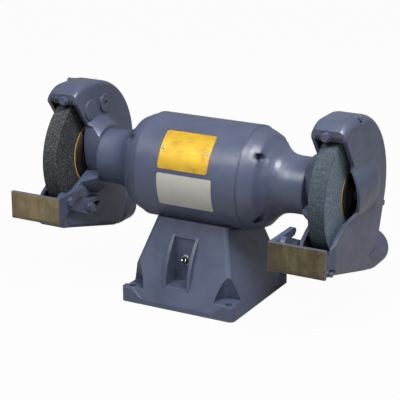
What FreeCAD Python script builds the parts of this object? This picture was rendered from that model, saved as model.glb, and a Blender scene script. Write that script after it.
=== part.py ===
import FreeCAD, Part
import math
import os
import re

import Sketcher
from FreeCAD import Placement, Rotation, Vector

# Bench grinder: a double-ended motor on a cast pedestal, with two guarded wheels.
# Row frame: origin at the centre of the pedestal's underside, +X along the arbor
# to the right wheel, -Y to the operator, +Z up. Lengths in millimetres.

os.makedirs("parts", exist_ok=True)
doc = FreeCAD.newDocument("bench_grinder")
sheet = doc.addObject("Spreadsheet::Sheet", "Sizes")

SIZES = {
    # pedestal casting
    "base_width": 195.2, "base_depth": 196, "base_edge": 8, "base_corner": 8,
    "top_width": 124, "top_depth": 106, "top_offset": 5.4, "top_height": 129,
    "pedestal_wall": 7, "roof_thickness": 12,
    "pad_height": 23, "pad_flat": 16, "pad_reach": 38,
    "base_bolt_span": 168, "base_bolt_hole": 5.5,
    "scoop_radius": 24, "scoop_top": 85, "scoop_tip": 3,
    "niche_centre": -5, "niche_half": 18, "niche_low": 34, "niche_high": 105,
    "niche_back": -55.6, "fin_thickness": 5, "fin_bulge": 8,
    "cover_sheet": 2, "cover_recess": 3, "cover_screw_x": 42, "cover_screw_inset": 15,
    # switch, capacitor and cord gland
    "switch_height": 69, "bushing_radius": 6, "bushing_reach": 5,
    "lever_reach": 11.5, "lever_radius": 1.5, "ball_radius": 2.1, "lever_tilt": 19,
    "capacitor_radius": 18, "capacitor_length": 78,
    "gland_x": 36, "gland_height": 104, "gland_radius": 9, "gland_reach": 60, "cord_bore": 5,
    # motor
    "foot_edge": 2.925, "shaft_offset": 7.4,
    "shell_radius": 81.7, "shell_half": 86, "shell_wall": 7,
    "foot_half": 54, "foot_depth": 49, "foot_relief": 2,
    "saddle_bolt_x": 46, "saddle_bolt_y": 38, "saddle_bolt_radius": 4, "saddle_gap": 1.2,
    "bell_wall": 6, "neck_radius": 44, "neck_end": 178, "web_face": 140, "hub_bore": 15,
    "bolt_inset": 15.7, "through_bolt_radius": 3, "pocket_rise": 15, "pocket_radius": 7.5,
    "stator_half": 35, "stator_bore": 40, "winding_length": 24, "winding_inner": 43,
    "winding_outer": 60, "air_gap": 0.5,
    "bearing_outer": 23.5, "bearing_inner": 10, "bearing_width": 14, "bearing_face": 141,
    "rotor_journal": 13, "shaft_shoulder": 196, "shoulder_radius": 12, "shaft_end": 257,
    "spindle_radius": 7.9, "running_gap": 0.05, "mount_circle": 32, "mount_screw_radius": 4,
    # wheels and clamping
    "wheel_centre": 226.4, "wheel_radius": 101.6, "wheel_width": 25.4,
    "blotter_thickness": 0.6, "inner_blotter": 51, "outer_blotter": 39.5,
    "inner_flange": 48, "outer_flange": 38, "outer_flange_thickness": 6, "flange_dish": 2.5,
    "nut_flats": 24, "nut_thickness": 9.5,
    # guards
    "guard_room": 15.9, "guard_shift": -7, "guard_lift": 1, "guard_wall": 6.5,
    "guard_inner": 199, "guard_outer": 254, "guard_seam": 239,
    "heel_slope": 15, "heel_rise": 19.4, "heel_round": 26, "rear_turn": -18,
    "lip_y": -62, "lip_over": -7.5, "lip_height": 14, "brow_round": 27,
    "toe_over": -1.6, "toe_height": -59, "toe_screw_over": -6.6, "inner_fillet": 8, "outer_fillet": 14,
    "bulge_reach": 266, "bulge_low": -33, "bulge_high": 43, "bulge_back": 70, "bulge_wall": 5,
    "collar_radius": 49.5, "collar_root": 66,
    "port_radius": 30, "port_bore": 25.5, "port_x": 228, "port_over": 17.9,
    "port_end": 114, "port_straight": 32, "port_round": 5,
    "rear_pad_over": 16.9, "rear_pad_width": 34, "rear_pad_low": -18.5,
    "rear_pad_rise": 54, "rear_pad_round": 8,
    "rear_bolt_high": 26.7, "rear_bolt_low": -10.3,
    "pad_radius": 15, "pad_over": -21.9, "pad_y": 19, "pad_thickness": 3, "pad_hole": 3.4,
    # spark guards and tool rests
    "tongue_thickness": 3, "tongue_width": 42, "tongue_drop": 3.2, "spark_bolt_radius": 4,
    "spark_bolt_x": 222, "spark_bolt_over": -3.6,
    "arm_inner": 190, "arm_thickness": 8, "arm_half": 12, "arm_travel": 25,
    "arm_bolt_y": -46, "arm_bolt_z": -76.3, "arm_bolt_radius": 4,
    "rest_pivot_y": -115, "rest_pivot_z": -46.3, "rest_bolt_radius": 4,
    "rest_width": 88, "rest_height": 43, "rest_thickness": 6, "rest_inner": 182, "rest_face": -145,
    "rest_low": -77.3, "rest_tail": -66, "left_slide": 0, "right_slide": 19,
    # plates on the motor
    "plate_left": -46, "plate_right": 39, "plate_low": 13, "plate_sweep": 45, "plate_thickness": 0.6,
    "label_left": -46, "label_right": 47, "label_low": -29, "label_sweep": 37.5, "label_thickness": 0.3,
}
for row, (alias, number) in enumerate(SIZES.items(), start=1):
    sheet.set(f"A{row}", alias.replace("_", " "))
    sheet.set(f"B{row}", str(number))
    sheet.setAlias(f"B{row}", alias)
doc.recompute()

# End-bell outline: distance past the end of the motor shell, then drop below its radius.
BELL_OUTLINE = (
    (0, 0.8), (4, 2.4), (12, 5.2), (23.5, 10.7), (31, 19.7), (38, 26.2), (44, 31.2), (51, 34.9), (60, 37))
# The hollow behind it, in the same way, before the wall is taken off.
BELL_HOLLOW = ((45, 33.7), (38, 27.7), (29, 18.7), (22, 10.7), (10, 5.7))
SHAFT_HEIGHT = "(top_height + foot_edge + sqrt(shell_radius * shell_radius - foot_depth * foot_depth))"

TURNS = {
    "X": Rotation(Vector(0, 1, 0), 90), "-X": Rotation(Vector(0, 1, 0), -90),
    "Y": Rotation(Vector(1, 0, 0), -90), "-Y": Rotation(Vector(1, 0, 0), 90),
    "Z": Rotation(), "-Z": Rotation(Vector(1, 0, 0), 180),
}
subparts = []


def size(alias):
    return float(sheet.get(alias))


def bound(text):
    """The same formula with every alias written as a reference to the sheet."""
    return re.sub(r"[a-z_]+", lambda word: "Sizes." + word[0] if word[0] in SIZES else word[0], str(text))


def worth(text):
    result = sheet.evalExpression(bound(text))
    return float(getattr(result, "Value", result))


def bind(piece, **formulas):
    for name, formula in formulas.items():
        piece.setExpression(name, bound(formula))
    return piece


def put(piece, at, axis="Z"):
    piece.Placement = Placement(Vector(), TURNS[axis])
    for letter, formula in zip("xyz", at):
        piece.setExpression("Placement.Base." + letter, bound(formula))
    return piece


def keep(piece, label):
    piece.Label = label
    subparts.append(piece)
    return piece


def rod(radius, length, at, axis="Z"):
    piece = doc.addObject("Part::Cylinder", "Rod")
    bind(piece, Radius=radius, Height=length)
    return put(piece, at, axis)


def cone(start_radius, end_radius, length, at, axis="Z"):
    piece = doc.addObject("Part::Cone", "Cone")
    bind(piece, Radius1=start_radius, Radius2=end_radius, Height=length)
    return put(piece, at, axis)


def block(length, width, height, at):
    """A box given by its three sizes and its lowest corner."""
    piece = doc.addObject("Part::Box", "Block")
    bind(piece, Length=length, Width=width, Height=height)
    return put(piece, at)


def hexagon(flats, height, at, axis="Z"):
    piece = doc.addObject("Part::Prism", "Hexagon")
    piece.Polygon = 6
    bind(piece, Circumradius=f"({flats}) / 2 / cos(30 deg)", Height=height)
    return put(piece, at, axis)


def cut(base, *tools):
    for tool in tools:
        piece = doc.addObject("Part::Cut", "Cut")
        piece.Base = base
        piece.Tool = tool
        base = piece
    return base


def fuse(*pieces):
    piece = doc.addObject("Part::MultiFuse", "Fuse")
    piece.Shapes = list(pieces)
    piece.Refine = True
    return piece


def group(*pieces):
    piece = doc.addObject("Part::Compound", "Group")
    piece.Links = list(pieces)
    return piece


def cast(label, shape):
    """A casting whose faces are worked out with Part's own functions."""
    piece = doc.addObject("Part::Feature", label)
    piece.Shape = shape
    return keep(piece, label)


def outline_sketch(body, plane, corners):
    """A closed outline whose every corner is dimensioned from the origin."""
    sketch = body.newObject("Sketcher::SketchObject", "Outline")
    support = [part for part in body.Origin.OriginFeatures if part.Role == plane]
    sketch.AttachmentSupport = [(support[0], "")]
    sketch.MapMode = "FlatFace"
    places = [Vector(worth(u), worth(v), 0) for u, v in corners]
    for index, place in enumerate(places):
        following = places[(index + 1) % len(places)]
        sketch.addGeometry(Part.LineSegment(place, following), False)
    for index, (u, v) in enumerate(corners):
        following = (index + 1) % len(corners)
        sketch.addConstraint(Sketcher.Constraint("Coincident", index, 2, following, 1))
        for kind, formula in (("DistanceX", u), ("DistanceY", v)):
            number = sketch.addConstraint(Sketcher.Constraint(kind, -1, 1, index, 1, worth(formula)))
            sketch.setExpression(f"Constraints[{number}]", bound(formula))
    return sketch


def turned(label, corners):
    """A piece turned about the arbor: corners are (distance along X, radius)."""
    body = doc.addObject("PartDesign::Body", label)
    sketch = outline_sketch(body, "XY_Plane", corners)
    turn = body.newObject("PartDesign::Revolution", "Turn")
    turn.Profile = sketch
    turn.ReferenceAxis = (sketch, ["H_Axis"])
    turn.Angle = 360
    sketch.Visibility = False
    return put(body, ("0", "shaft_offset", SHAFT_HEIGHT))


def side_x(side, formula):
    """A distance from the middle, measured to the left or right side."""
    return formula if side > 0 else f"-({formula})"


def outward(side):
    return "X" if side > 0 else "-X"


def shaft_height():
    """The arbor's height, rounded to a hundredth of a micrometre."""
    return round(worth(SHAFT_HEIGHT), 5)


def from_shaft(y="0", z="0"):
    return (f"shaft_offset + ({y})", f"{SHAFT_HEIGHT} + ({z})")


def mirrored(shape, side):
    return shape if side > 0 else shape.mirror(Vector(0, 0, 0), Vector(1, 0, 0))


# ---------------------------------------------------------------- pedestal

def rounded_rectangle(width, depth, corner, centre_y, height):
    """A closed wire with rounded corners, level at the given height."""
    x, y = width / 2, depth / 2
    turn = corner * (1 - math.sqrt(0.5))
    edges = []
    for sign_x, sign_y in ((1, 1), (-1, 1), (-1, -1), (1, -1)):
        along = Vector(sign_x * (x - corner), sign_y * y, 0)
        across = Vector(sign_x * x, sign_y * (y - corner), 0)
        middle = Vector(sign_x * (x - turn), sign_y * (y - turn), 0)
        first, last = (across, along) if sign_x * sign_y > 0 else (along, across)
        edges.append((first, middle, last))
    wire = []
    for index, (first, middle, last) in enumerate(edges):
        wire.append(Part.Arc(first, middle, last).toShape())
        wire.append(Part.LineSegment(last, edges[(index + 1) % 4][0]).toShape())
    wire = Part.Wire(wire)
    wire.translate(Vector(0, centre_y, height))
    return wire


def frustum(inset, low, high):
    """The pedestal's four leaning faces, moved in by inset, between two heights."""
    wires = []
    for height in (low, high):
        share = (height - size("base_edge")) / (size("top_height") - size("base_edge"))
        share = max(share, 0)
        width = size("base_width") + (size("top_width") - size("base_width")) * share - 2 * inset
        depth = size("base_depth") + (size("top_depth") - size("base_depth")) * share - 2 * inset
        shift = size("top_offset") * share
        wires.append(rounded_rectangle(width, depth, size("base_corner"), shift, height))
    return Part.makeLoft(wires, True, True)


def front_face_y(height):
    """Where the leaning front face stands at a height."""
    share = (height - size("base_edge")) / (size("top_height") - size("base_edge"))
    base, top = -size("base_depth") / 2, size("top_offset") - size("top_depth") / 2
    return base + (top - base) * share


def gland_seat():
    """Where the rear face is spot-faced for the cord gland."""
    share = (size("gland_height") - size("base_edge")) / (size("top_height") - size("base_edge"))
    base, top = size("base_depth") / 2, size("top_offset") + size("top_depth") / 2
    return base + (top - base) * share - 1


def corner_pad(sign_x, sign_y):
    """A bolting pad whose top ramps down towards the middle of each side."""
    x, y = size("base_width") / 2, size("base_depth") / 2
    prisms = []
    for half, other, turn in ((x, y, 0), (y, x, 1)):
        flat, reach = half - size("pad_flat"), half - size("pad_reach")
        corners = [(half, 0), (half, size("pad_height")), (flat, size("pad_height"))]
        corners += [(reach, size("base_edge")), (reach, 0), (half, 0)]
        inner = other - size("pad_reach")
        if turn:
            face = [Vector(inner, u, v) for u, v in corners]
            sweep = Vector(size("pad_reach"), 0, 0)
        else:
            face = [Vector(u, inner, v) for u, v in corners]
            sweep = Vector(0, size("pad_reach"), 0)
        prisms.append(Part.Face(Part.makePolygon(face)).extrude(sweep))
    pad = prisms[0].common(prisms[1])
    if sign_x < 0:
        pad = pad.mirror(Vector(0, 0, 0), Vector(1, 0, 0))
    if sign_y < 0:
        pad = pad.mirror(Vector(0, 0, 0), Vector(0, 1, 0))
    return pad


def fin(side):
    """One of the two arched fins that shield the switch lever."""
    start = size("niche_centre") + side * (size("niche_half") + size("fin_thickness") / 2)
    start -= size("fin_thickness") / 2
    low, high = size("niche_low") - 4, size("niche_high") + 3
    bottom = Vector(start, front_face_y(low), low)
    top = Vector(start, front_face_y(high), high)
    outwards = Vector(0, bottom.z - top.z, top.y - bottom.y)
    outwards.normalize()
    if outwards.y > 0:
        outwards = outwards * -1
    crown = (bottom + top) * 0.5 + outwards * size("fin_bulge")
    root = outwards * -(size("pedestal_wall") - 1)
    edges = [
        Part.Arc(bottom, crown, top).toShape(),
        Part.LineSegment(top, top + root).toShape(),
        Part.LineSegment(top + root, bottom + root).toShape(),
        Part.LineSegment(bottom + root, bottom).toShape(),
    ]
    return Part.Face(Part.Wire(edges)).extrude(Vector(size("fin_thickness"), 0, 0))


def pedestal_shape():
    wall, edge = size("pedestal_wall"), size("base_edge")
    width, depth, corner = size("base_width"), size("base_depth"), size("base_corner")
    foot_wire = rounded_rectangle(width, depth, corner, 0, 0)
    plate = Part.Face(foot_wire).extrude(Vector(0, 0, edge))
    outer = frustum(0, edge, size("top_height")).fuse(plate)
    hollow = frustum(wall, edge, size("top_height") - size("roof_thickness"))
    well = rounded_rectangle(width - 2 * wall, depth - 2 * wall, corner, 0, 0)
    hollow = hollow.fuse(Part.Face(well).extrude(Vector(0, 0, edge)))
    reach, span = size("base_bolt_span") / 2, size("pad_height")
    scoop, rise, tip = size("scoop_radius"), size("scoop_top"), size("scoop_tip")
    pads, holes = [], []
    for sign_x in (1, -1):
        for sign_y in (1, -1):
            spot = Vector(sign_x * reach, sign_y * reach, 0)
            hollow = hollow.cut(Part.makeCone(scoop + wall, tip + wall, rise, spot))
            outer = outer.cut(Part.makeCone(scoop, tip, rise - span, spot + Vector(0, 0, span)))
            pads.append(corner_pad(sign_x, sign_y))
            holes.append(Part.makeCylinder(size("base_bolt_hole"), 2 * span, spot - Vector(0, 0, 1)))
    screw_y = size("base_depth") / 2 - size("cover_screw_inset")
    lift = size("cover_recess") + size("cover_sheet")
    for sign_x in (1, -1):
        for sign_y in (1, -1):
            spot = Vector(sign_x * size("cover_screw_x"), sign_y * screw_y, lift)
            hollow = hollow.cut(Part.makeCylinder(wall, 40, spot))
            holes.append(Part.makeCylinder(2.05, 14, spot))
    niche_width = 2 * size("niche_half")
    niche_left = size("niche_centre") - size("niche_half")
    low, high, back = size("niche_low"), size("niche_high"), size("niche_back")
    niche = Part.makeBox(niche_width, 90, high - low, Vector(niche_left, back - 90, low))
    backing = Part.makeBox(niche_width + 10, 90, high - low + 10, Vector(niche_left - 5, back - 85, low - 5))
    hollow = hollow.cut(backing)
    body = outer.fuse(pads + [fin(1), fin(-1)]).cut(hollow)
    footprint = Part.Face(foot_wire).extrude(Vector(0, 0, size("top_height")))
    body = body.common(footprint)
    saddle = Part.makeCylinder(
        size("shell_radius") + size("saddle_gap"), 400,
        Vector(-200, size("shaft_offset"), shaft_height()), Vector(1, 0, 0))
    backwards = Vector(0, 1, 0)
    switch_spot = Vector(size("niche_centre"), back - 1, size("switch_height"))
    holes.append(Part.makeCylinder(size("bushing_radius") + size("running_gap"), 12, switch_spot, backwards))
    gland_spot = Vector(size("gland_x"), 30, size("gland_height"))
    holes.append(Part.makeCylinder(size("gland_radius") - 1.9, 60, gland_spot, backwards))
    gland_spot.y = gland_seat()
    holes.append(Part.makeCylinder(size("gland_radius") + 4, 20, gland_spot, backwards))
    for sign_x in (1, -1):
        for sign_y in (1, -1):
            y = size("shaft_offset") + sign_y * size("saddle_bolt_y")
            spot = Vector(sign_x * size("saddle_bolt_x"), y, size("top_height") - 29)
            holes.append(Part.makeCylinder(size("saddle_bolt_radius") + 0.4, 40, spot))
    return body.cut([niche, saddle] + holes).removeSplitter()


pedestal = cast("pedestal_base", pedestal_shape())
cover_screw_y = "base_depth / 2 - cover_screw_inset"
sheet_blank = block(
    "base_width - 2 * pedestal_wall - 2", "base_depth - 2 * pedestal_wall - 2", "cover_sheet",
    ("-base_width / 2 + pedestal_wall + 1", "-base_depth / 2 + pedestal_wall + 1", "cover_recess"))
corner_cuts, screw_holes, cover_screws = [], [], []
for sign_x in ("", "-"):
    for sign_y in ("", "-"):
        corner_cuts.append(rod(
            "scoop_radius + pedestal_wall + 1", 20,
            (f"{sign_x}base_bolt_span / 2", f"{sign_y}base_bolt_span / 2", "-5")))
        spot = (f"{sign_x}cover_screw_x", f"{sign_y}({cover_screw_y})")
        screw_holes.append(rod(2.4, 20, spot + ("-5",)))
        cover_screws.append(fuse(
            rod(4, 2.2, spot + ("cover_recess - 2.2",)), rod(2, 14, spot + ("cover_recess - 1",))))
keep(cut(sheet_blank, *corner_cuts, *screw_holes), "bottom_cover")
keep(group(*cover_screws), "bottom_cover_screws")


# ------------------------------------------- switch, capacitor, cord gland

def at_switch(y="0", z="0"):
    return ("niche_centre", f"niche_back + ({y})", f"switch_height + ({z})")


switch_case = block(18, 26, 32, ("niche_centre - 9", "niche_back + 5", "switch_height - 16"))
bushing = rod("bushing_radius", "bushing_reach + 6", at_switch("-bushing_reach"), "Y")
bushing_bore = rod(4, 8, at_switch("-bushing_reach - 1"), "Y")
terminals = [
    block(6, 9, 0.8, ("niche_centre - 3", "niche_back + 31", f"switch_height + {rise}"))
    for rise in (-10, 0, 10)]
keep(fuse(cut(fuse(switch_case, bushing), bushing_bore), *terminals), "switch_body")
switch_nut = fuse(
    hexagon(14, 2.6, at_switch("-3.2"), "Y"), rod(8.5, 0.6, at_switch("-0.6"), "Y"))
keep(cut(switch_nut, rod("bushing_radius + running_gap", 8, at_switch("-5"), "Y")), "switch_nut")

lever = doc.addObject("Part::Feature", "Lever")
lever_stem = Part.makeCone(size("lever_radius"), size("lever_radius") * 0.8, size("lever_reach"))
lever_tip = Part.makeSphere(size("ball_radius"), Vector(0, 0, size("lever_reach")))
lever.Shape = Part.makeSphere(3.4).fuse([lever_stem, lever_tip])
lever.Placement = Placement(Vector(), Rotation(Vector(1, 0, 0), 90 - size("lever_tilt")))
for letter, formula in zip("xyz", at_switch("-bushing_reach / 2")):
    lever.setExpression("Placement.Base." + letter, bound(formula))
keep(lever, "toggle_lever")

capacitor_at = ("-capacitor_length / 2", "30", "cover_recess + cover_sheet + capacitor_radius + 1.5")
can = rod("capacitor_radius", "capacitor_length", capacitor_at, "X")
posts = [
    rod(2.5, "capacitor_length + 8", (capacitor_at[0], f"30 + {shift}", capacitor_at[2]), "X")
    for shift in (-7, 7)]
keep(fuse(can, *posts), "capacitor")
strap_x = "-11"
strap = cut(
    rod("capacitor_radius + 1.3", 22, (strap_x, "30", capacitor_at[2]), "X"),
    rod("capacitor_radius + 0.1", 24, ("-12", "30", capacitor_at[2]), "X"))
strap_feet = cut(
    block(22, "2 * capacitor_radius + 26", 1.5,
          (strap_x, "30 - capacitor_radius - 13", "cover_recess + cover_sheet")),
    rod("capacitor_radius + 0.1", 24, ("-12", "30", capacitor_at[2]), "X"))
keep(fuse(strap, strap_feet), "capacitor_strap")


def at_gland(distance):
    """A place on the gland's axis, measured out from its seat."""
    return ("gland_x", f"{gland_seat():.3f} + ({distance})", "gland_height")


gland = fuse(
    rod("gland_radius - 2", "gland_reach + 8", at_gland(-16), "Y"),
    hexagon("gland_radius * 2 + 2", 6, at_gland(0), "Y"))
keep(cut(gland, rod("cord_bore", 60, at_gland(-25), "Y")), "cord_gland")
gland_dome = fuse(
    rod("gland_radius + 1", 9, at_gland(6.5), "Y"),
    cone("gland_radius + 1", "cord_bore + 2", "gland_reach - 14.5", at_gland(15.5), "Y"))
keep(cut(
    gland_dome, rod("gland_radius - 1.9", "gland_reach + 2", at_gland(-9.5), "Y"),
    rod("cord_bore", 60, at_gland(-9), "Y")), "cord_gland_nut")


# ------------------------------------------------------------------- motor

def ring(outer, inner, start, length, side=1):
    """A plain ring about the arbor, starting at a distance from the middle."""
    at = (side_x(side, start),) + from_shaft()
    return cut(rod(outer, length, at, outward(side)), rod(inner, length, at, outward(side)))


def circle_points(radius):
    """Offsets of four points on a circle, on the diagonals."""
    reach = f"({radius}) * sqrt(0.5)"
    return [(f"{a}{reach}", f"{b}{reach}") for a in ("", "-") for b in ("", "-")]


shell_at = ("-shell_half",) + from_shaft()
foot_rise = "shell_radius - sqrt(shell_radius * shell_radius - foot_depth * foot_depth) + 4"
foot = block(
    "2 * foot_half", "2 * foot_depth", foot_rise, ("-foot_half", "shaft_offset - foot_depth", "top_height"))
foot_groove = cut(
    block("2 * foot_half + 2", "2 * foot_depth + 2", "foot_relief",
          ("-foot_half - 1", "shaft_offset - foot_depth - 1", "top_height")),
    block("2 * foot_half - 10", "2 * foot_depth - 5", "foot_relief",
          ("-foot_half + 5", "shaft_offset - foot_depth + 2.5", "top_height")))
saddle_holes = [
    rod("saddle_bolt_radius + running_gap", 40,
        (f"{a}saddle_bolt_x", f"shaft_offset + {b}saddle_bolt_y", "top_height - 25"))
    for a in ("", "-") for b in ("", "-")]
shell = cut(
    fuse(rod("shell_radius", "2 * shell_half", shell_at, "X"), cut(foot, foot_groove)),
    rod("shell_radius - shell_wall", "2 * shell_half", shell_at, "X"),
    rod(12, 60, ("0", "shaft_offset", "top_height - 23.4")),
    *saddle_holes)


def end_bell(side, label):
    outer = [
        (side_x(side, f"shell_half + {past}"), f"shell_radius - {drop}") for past, drop in BELL_OUTLINE]
    outer += [(side_x(side, "neck_end - 24"), "neck_radius"), (side_x(side, "neck_end"), "neck_radius")]
    hub = [
        (side_x(side, "neck_end"), "hub_bore"), (side_x(side, "bearing_face + bearing_width"), "hub_bore"),
        (side_x(side, "bearing_face + bearing_width"), "bearing_outer"),
        (side_x(side, "web_face - 6"), "bearing_outer"), (side_x(side, "web_face - 6"), "bearing_outer + 7"),
        (side_x(side, "web_face"), "bearing_outer + 7"),
        (side_x(side, "web_face"), "neck_radius - bell_wall - 1")]
    inner = [
        (side_x(side, f"shell_half + {past}"), f"shell_radius - {drop} - bell_wall")
        for past, drop in BELL_HOLLOW]
    inner += [
        (side_x(side, "shell_half + 1"), "shell_radius - shell_wall - 3"),
        (side_x(side, "shell_half - 5"), "shell_radius - shell_wall - 3"),
        (side_x(side, "shell_half - 5"), "shell_radius - shell_wall - running_gap"),
        (side_x(side, "shell_half"), "shell_radius - shell_wall - running_gap")]
    bell = turned(label + "_casting", outer + hub + inner)
    ends = [(side_x(side, "shell_half"), 0)], [(side_x(side, "neck_end"), 0)]
    solid = turned(label + "_limit", ends[0] + outer + ends[1])
    bosses, pockets = [], []
    for y, z in circle_points("shell_radius - bolt_inset"):
        spot = from_shaft(y, z)
        bosses.append(rod("pocket_radius + 3", 40, (side_x(side, "shell_half + 1"),) + spot, outward(side)))
        pocket_at = (side_x(side, "shell_half + pocket_rise"),) + spot
        pockets.append(rod("pocket_radius", 40, pocket_at, outward(side)))
        pockets.append(rod(
            "through_bolt_radius + 0.2", 40, (side_x(side, "shell_half - 6"),) + spot, outward(side)))
    trimmed = doc.addObject("Part::MultiCommon", "Trimmed")
    trimmed.Shapes = [fuse(*bosses), solid]
    for y, z in circle_points("mount_circle"):
        spot = from_shaft(y, z)
        pockets.append(rod(
            "mount_screw_radius + running_gap", 20, (side_x(side, "neck_end - 19"),) + spot, outward(side)))
    return keep(cut(fuse(bell, trimmed), *pockets), label)


end_bell(-1, "left_end_bell")
end_bell(1, "right_end_bell")

bolts = []
for y, z in circle_points("shell_radius - bolt_inset"):
    spot = from_shaft(y, z)
    bolts.append(fuse(
        rod("through_bolt_radius", "2 * (shell_half + pocket_rise) + 8",
            ("-shell_half - pocket_rise - 8",) + spot, "X"),
        hexagon(10, 4, ("shell_half + pocket_rise",) + spot, "X"),
        hexagon(10, 5, ("-shell_half - pocket_rise",) + spot, "-X")))
keep(group(*bolts), "through_bolts")
saddle_bolts = []
saddle_low = "top_height - roof_thickness"
for a in ("", "-"):
    for b in ("", "-"):
        spot = (f"{a}saddle_bolt_x", f"shaft_offset + {b}saddle_bolt_y")
        saddle_bolts.append(fuse(
            rod("saddle_bolt_radius", 22, spot + (f"{saddle_low} - 4",)),
            hexagon(13, 5.3, spot + (f"{saddle_low} - 5.3",))))
keep(group(*saddle_bolts), "saddle_bolts")

stator_holes = [
    rod("through_bolt_radius + 0.5", "2 * stator_half", ("-stator_half",) + from_shaft(y, z), "X")
    for y, z in circle_points("shell_radius - bolt_inset")]
stator = ring("shell_radius - shell_wall - 0.02", "stator_bore", "-stator_half", "2 * stator_half")
keep(cut(stator, *stator_holes), "stator_core")
windings = [
    ring("winding_outer", "winding_inner", "stator_half", "winding_length", side) for side in (-1, 1)]
keep(group(*windings), "stator_windings")
for side, label in ((-1, "left_bearing"), (1, "right_bearing")):
    bearing = ring("bearing_outer", "bearing_inner + running_gap", "bearing_face", "bearing_width", side)
    groove = ring("bearing_outer - 3.5", "bearing_inner + 3.5", "bearing_face - 1", 2, side)
    keep(cut(bearing, groove), label)
keep(ring("bearing_outer - 0.3", "bearing_inner + 6", "bearing_face - 1.4", 1.4, -1), "preload_washer")
start_switch = ring(38, 22, 112, 3, -1)
standoffs = [rod(3, "web_face - 114", ("-114",) + from_shaft(y), "-X") for y in (33.8, -33.8)]
keep(fuse(start_switch, *standoffs), "start_switch")

right_side = [
    ("stator_half + 10", "rotor_journal"), ("stator_half + 10", "shoulder_radius"),
    ("bearing_face - 2", "shoulder_radius"), ("bearing_face - 2", "bearing_inner"),
    ("bearing_face + bearing_width + 1", "bearing_inner"),
    ("bearing_face + bearing_width + 1", "bearing_inner - 0.2"),
    ("shaft_shoulder", "bearing_inner - 0.2"), ("shaft_shoulder", "spindle_radius"),
    ("shaft_end - 1.2", "spindle_radius"), ("shaft_end", "spindle_radius - 1.2"), ("shaft_end", 0)]
left_side = [("-(" + x + ")", radius) for x, radius in reversed(right_side)]
keep(turned("arbor_shaft", left_side + right_side), "arbor_shaft")
keep(ring("stator_bore - air_gap", "rotor_journal + 0.01", "-stator_half", "2 * stator_half"), "rotor_core")
end_rings = [ring("stator_bore - 3", "rotor_journal + 8", "stator_half", 8, side) for side in (-1, 1)]
keep(group(*end_rings), "rotor_end_rings")
sleeve = ring(16, "shoulder_radius + 0.01", 92, 14, -1)
actuator_rim = ring(20, "shoulder_radius + 0.01", 106, 3, -1)
keep(fuse(sleeve, actuator_rim), "start_actuator")


def shell_plate(left, right, low, sweep, thickness, corner):
    """A thin plate with rounded corners wrapped on the front of the motor shell."""
    radius = size("shell_radius")
    axis = Vector(size(left), size("shaft_offset"), shaft_height())
    length, depth = size(right) - size(left), 2 * radius * math.sin(math.radians(size(sweep) / 2))
    skin = Part.makeCylinder(radius + size(thickness), length, axis, Vector(1, 0, 0))
    skin = skin.cut(Part.makeCylinder(radius, length, axis, Vector(1, 0, 0)))
    blank = Part.Face(rounded_rectangle(length, depth, corner, 0, radius / 2))
    blank = blank.extrude(Vector(0, 0, radius))
    blank.rotate(Vector(), Vector(1, 0, 0), 90 - size(low) - size(sweep) / 2)
    blank.translate(axis + Vector(length / 2, 0, 0))
    return skin.common(blank)


plate = doc.addObject("Part::Feature", "PlateBlank")
plate.Shape = shell_plate("plate_left", "plate_right", "plate_low", "plate_sweep", "plate_thickness", 4)
front_label = shell_plate("label_left", "label_right", "label_low", "label_sweep", "label_thickness", 3)
cast("front_label", front_label)
rivets, rivet_holes = [], []
rivet_angle = math.radians(size("plate_low") + size("plate_sweep") / 2)
rivet_way = Vector(0, -math.cos(rivet_angle), math.sin(rivet_angle))
for x in (size("plate_left") + 5, size("plate_right") - 5):
    centre = Vector(x, size("shaft_offset"), shaft_height())
    seat = centre + rivet_way * (size("shell_radius") - 3)
    head = Part.makeCylinder(2.2, 1, seat + rivet_way * (3 + size("plate_thickness")), rivet_way)
    rims = [edge for edge in head.Edges if (edge.CenterOfMass - head.CenterOfMass).dot(rivet_way) > 0.2]
    head = head.makeFillet(0.8, rims)
    rivets.append(head.fuse(Part.makeCylinder(1.2, 4, seat, rivet_way)))
    rivet_holes.append(Part.makeCylinder(1.21, 8, seat - rivet_way, rivet_way))
hole_tool = doc.addObject("Part::Feature", "RivetHoles")
hole_tool.Shape = Part.makeCompound(rivet_holes)
keep(cut(plate, hole_tool), "nameplate")
cast("nameplate_rivets", Part.makeCompound(rivets))
keep(cut(shell, hole_tool), "motor_shell")


# ------------------------------------------------------ wheels and flanges

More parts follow.
